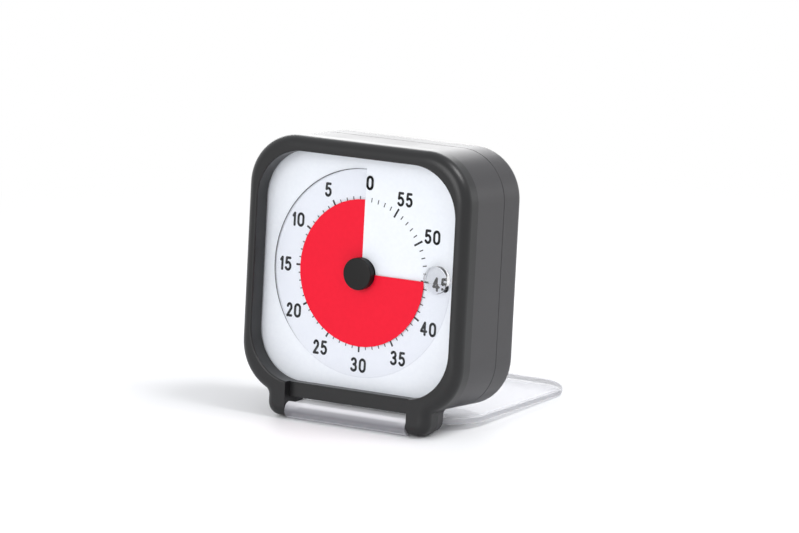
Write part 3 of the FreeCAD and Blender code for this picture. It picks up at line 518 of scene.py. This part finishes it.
def numeral_outlines(minute):
    """A numeral's strokes, centred on its place round the dial; the 0 stands right of the slit."""
    turn = 2 * math.pi * minute / MINUTES
    text = str(minute)
    wide = sum(DIGIT_WIDTHS[digit] for digit in text) + NUMERAL_GAP * (len(text) - 1)
    left = NUMERAL_RIGHT - NUMERAL_REACH_X * math.sin(turn) - wide / 2
    if minute == 0:
        left = ZERO_LEFT
    base = NUMERAL_REACH_Z * math.cos(turn) - NUMERAL_LOWER - NUMERAL_HEIGHT / 2
    tall = NUMERAL_HEIGHT - STROKE
    outlines = []
    for digit in text:
        across = DIGIT_WIDTHS[digit] - STROKE
        for path in digit_paths(digit):
            placed = [(left + STROKE / 2 + x * across, base + STROKE / 2 + z * tall) for x, z in path]
            outlines.extend(ribbon(placed, STROKE))
        left += DIGIT_WIDTHS[digit] + NUMERAL_GAP
    return outlines


def add_print():
    black = ink()
    ticks = []
    for minute in range(1, MINUTES):
        tick = MAJOR_TICK if minute % NUMERAL_EVERY == 0 else MINOR_TICK
        ticks.append(tick_outline(minute, *tick))
    print_on_dial("dial_ticks", ticks, black)
    for minute in range(0, MINUTES, NUMERAL_EVERY):
        print_on_dial("numeral_" + str(minute), numeral_outlines(minute), black)


# The film's cut edge, a fine line all the way round, which climbs with the film; its material paints shade
# on it towards one side
FILM_RADIUS = 30.8
RIM_WIDTH = 0.27
RIM_STEPS = 144
FILM_START = -90.0
FILM_TOP = 0.06


def add_film_rim():
    points = []
    faces = []
    for i in range(RIM_STEPS + 1):
        past = FILM_START + 360.0 * i / RIM_STEPS
        turn = math.radians(past)
        rise = PITCH * past / 360.0 + FILM_TOP
        for reach in (FILM_RADIUS - RIM_WIDTH, FILM_RADIUS):
            flat = RIGHT * (-reach * math.sin(turn)) + UP * (reach * math.cos(turn)) + FACING * rise
            points.append(DIAL_CENTRE + flat * MM)
    for i in range(RIM_STEPS):
        faces.append((2 * i, 2 * i + 1, 2 * i + 3, 2 * i + 2))
    add_mesh("film_rim", points, faces, film_rim(), "film")


# The knob, turned from its outline: a flat face, a fine rounded edge and a straight side
KNOB_RADIUS = 4.75
KNOB_FRONT = 2.85
KNOB_BACK = 4.85
KNOB_EDGE = 0.28
KNOB_EDGE_STEPS = 5
KNOB_STEPS = 72
KNOB_SHARP = math.radians(40.0)
KNOB_MERGE = 1e-7


def knob_outline():
    """Pairs of reach from the axis and depth behind the bezel's front, from the face round to the back."""
    outline = [(0.0, KNOB_FRONT)]
    for i in range(KNOB_EDGE_STEPS + 1):
        turn = math.radians(90.0 * i / KNOB_EDGE_STEPS)
        reach = KNOB_RADIUS - KNOB_EDGE + KNOB_EDGE * math.sin(turn)
        outline.append((reach, KNOB_FRONT + KNOB_EDGE - KNOB_EDGE * math.cos(turn)))
    outline.append((KNOB_RADIUS, KNOB_BACK))
    outline.append((0.0, KNOB_BACK))
    return outline


def add_knob(material):
    outline = knob_outline()
    points = []
    for reach, depth in outline:
        for i in range(KNOB_STEPS):
            turn = 2 * math.pi * i / KNOB_STEPS
            flat = RIGHT * (reach * math.cos(turn)) + UP * (reach * math.sin(turn)) - FACING * depth
            points.append(BEZEL_FRONT + flat * MM)
    faces = []
    for ring in range(len(outline) - 1):
        first = ring * KNOB_STEPS
        for i in range(KNOB_STEPS):
            ahead = (i + 1) % KNOB_STEPS
            faces.append((first + i, first + ahead, first + KNOB_STEPS + ahead, first + KNOB_STEPS + i))
    knob = add_mesh("knob_cap", points, faces, material, "spindle_set")
    work = bmesh.new()
    work.from_mesh(knob.data)
    bmesh.ops.remove_doubles(work, verts=work.verts, dist=KNOB_MERGE)
    bmesh.ops.recalc_face_normals(work, faces=work.faces)
    work.to_mesh(knob.data)
    work.free()
    for face in knob.data.polygons:
        face.use_smooth = True
    knob.data.set_sharp_from_angle(angle=KNOB_SHARP)
    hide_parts("set_knob")


# Floor: pale, with the object's shadow close by and white further off
FLOOR_HALF = 6.0
FLOOR_COLOR = (0.93, 0.935, 0.95)
SHADOW_REACH = (0.10, 0.34)


def add_floor():
    data = bpy.data.meshes.new("floor")
    corners = [(x * FLOOR_HALF, y * FLOOR_HALF, 0) for x, y in ((-1, -1), (1, -1), (1, 1), (-1, 1))]
    data.from_pydata(corners, [], [(0, 1, 2, 3)])
    shader = Shader("floor", FLOOR_COLOR, 0.6)
    shader.base.inputs["Specular IOR Level"].default_value = 0.1
    shader.vary_roughness(shader.noise(4.0), 0.55, 0.65)
    place = shader.add("ShaderNodeTexCoord")
    length = shader.add("ShaderNodeVectorMath")
    length.operation = "LENGTH"
    shader.link(place.outputs["Object"], length.inputs[0])
    away = shader.span(length.outputs["Value"], SHADOW_REACH, smooth=True)
    white = shader.add("ShaderNodeEmission")
    mix = shader.add("ShaderNodeMixShader")
    shader.link(shader.reckon("MULTIPLY", seen_directly(shader.tree), away), mix.inputs["Fac"])
    shader.link(shader.base.outputs["BSDF"], mix.inputs[1])
    shader.link(white.outputs["Emission"], mix.inputs[2])
    shader.show(mix.outputs["Shader"])
    data.materials.append(shader.material)
    floor = bpy.data.objects.new("floor", data)
    bpy.context.scene.collection.objects.link(floor)


add_camera()
add_light()
add_floor()
add_knob(dress())
add_print()
add_film_rim()

bpy.context.view_layer.update()
